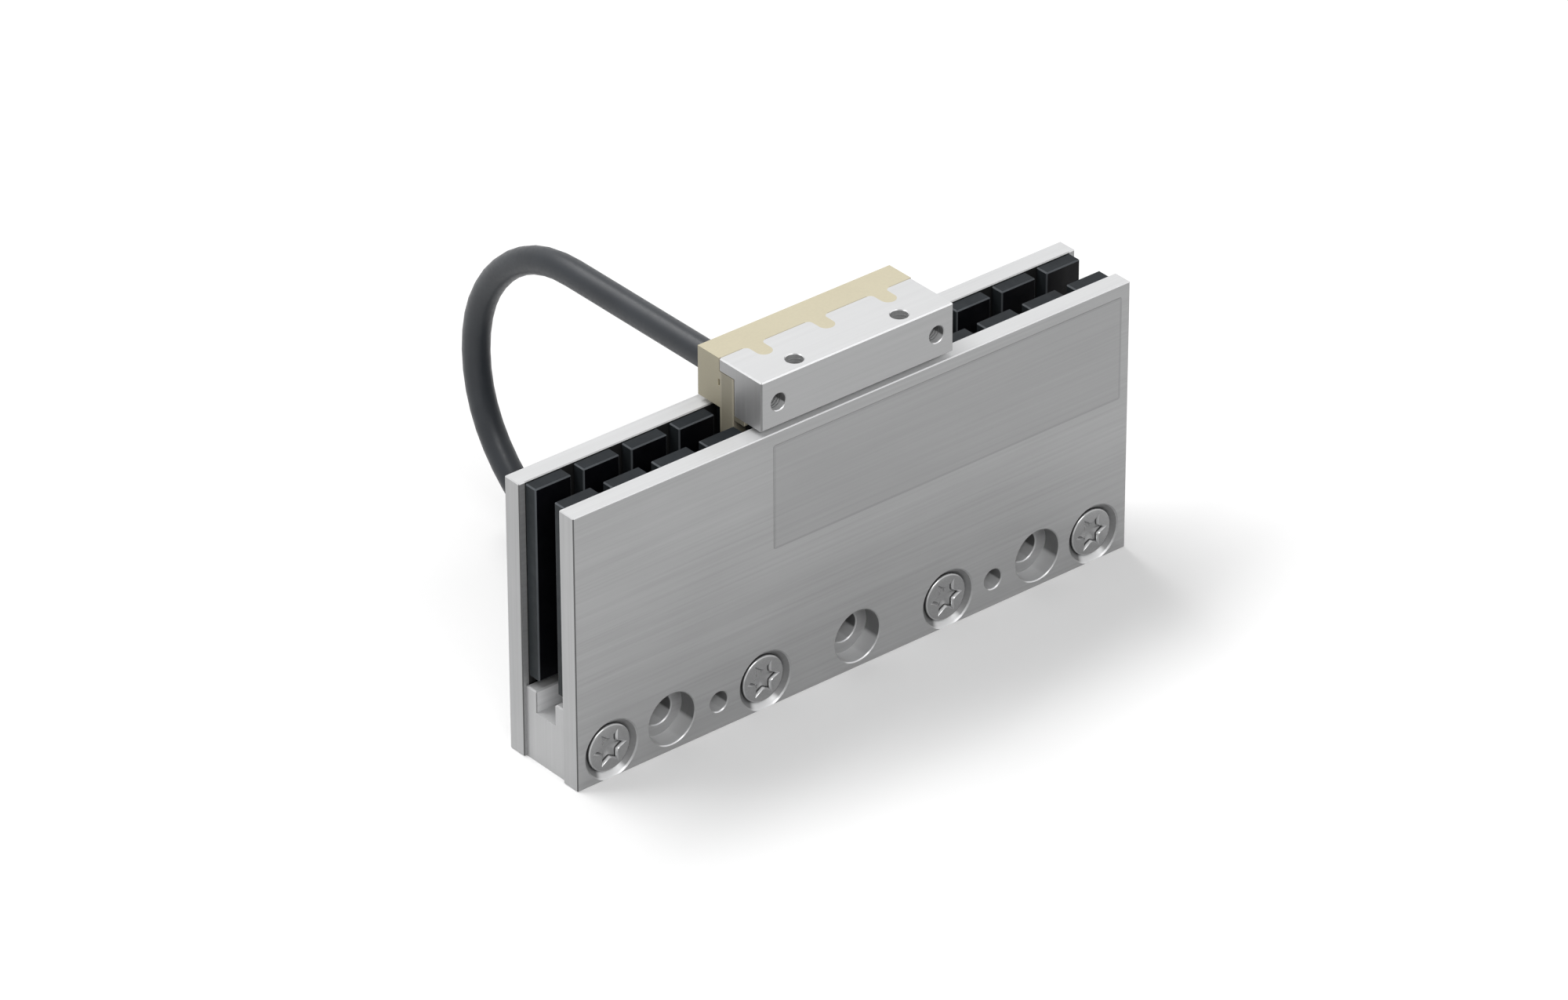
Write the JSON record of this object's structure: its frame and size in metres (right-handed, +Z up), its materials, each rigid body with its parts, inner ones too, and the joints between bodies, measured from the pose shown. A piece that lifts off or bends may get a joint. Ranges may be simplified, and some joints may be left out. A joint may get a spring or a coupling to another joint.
{
  "type": "ironless linear motor",
  "caption": "Ironless linear motor: a U-shaped magnet yoke of two steel plates on a base bar, with a potted T-shaped coil unit and its flying lead sliding along the gap.",
  "frame": {"origin": "middle of the yoke's underside, on the surface it stands on", "axes": "+X along the yoke and the direction of travel, -Y towards the plate that bolt heads pass through, +Z up out of the yoke's slot"},
  "size_m": [0.1088, 0.0674, 0.0503],
  "materials": {
    "plate_steel": "brushed along the length, nickel plated",
    "base_aluminium": "machined",
    "magnet": "dark coated rare-earth magnet",
    "screw_steel": "dull zinc",
    "block_aluminium": "fine machined",
    "adhesive": "cured dark adhesive",
    "resin": "cast beige epoxy",
    "glass_fibre": "resin-rich glass laminate",
    "copper": null,
    "board": "solder mask",
    "sensor": "moulded bead",
    "sheath": "dark grey polyurethane sheath",
    "tie": "hook-and-loop band",
    "sleeve": "heat-shrink",
    "core_insulation": "core insulation",
    "ferrule": "tinned copper"
  },
  "bodies": {
    "yoke": {"front_plate": "plate_steel", "rear_plate": "plate_steel", "base_bar": "base_aluminium", "front_magnet_01": "magnet", "front_magnet_02": "magnet", "front_magnet_03": "magnet", "front_magnet_04": "magnet", "front_magnet_05": "magnet", "front_magnet_06": "magnet", "front_magnet_07": "magnet", "front_magnet_08": "magnet", "front_magnet_09": "magnet", "front_magnet_10": "magnet", "front_magnet_11": "magnet", "front_magnet_12": "magnet", "rear_magnet_01": "magnet", "rear_magnet_02": "magnet", "rear_magnet_03": "magnet", "rear_magnet_04": "magnet", "rear_magnet_05": "magnet", "rear_magnet_06": "magnet", "rear_magnet_07": "magnet", "rear_magnet_08": "magnet", "rear_magnet_09": "magnet", "rear_magnet_10": "magnet", "rear_magnet_11": "magnet", "rear_magnet_12": "magnet", "front_plate_screws": "screw_steel", "rear_plate_screws": "screw_steel"},
    "coil_unit": {"mounting_block": "block_aluminium", "bond_line": "adhesive", "potting_cap": "resin", "blade_core": "resin", "blade_front_skin": "glass_fibre", "blade_rear_skin": "glass_fibre", "coil_u": "copper", "coil_v": "copper", "coil_w": "copper", "seal_bead": "resin", "connection_board": "board", "temperature_sensor": "sensor", "motor_cable": "sheath", "cable_hank": "sheath", "cable_tail": "sheath", "hank_tie": "tie", "cable_end_sleeve": "sleeve", "core_wires": "core_insulation", "core_ferrules": "ferrule"}
  },
  "joints": [
    {"name": "coil_unit_slide", "type": "slide", "parent": "yoke", "child": "coil_unit", "axis": [1, 0, 0], "range_m": [-0.0315, 0.0315]}
  ]
}
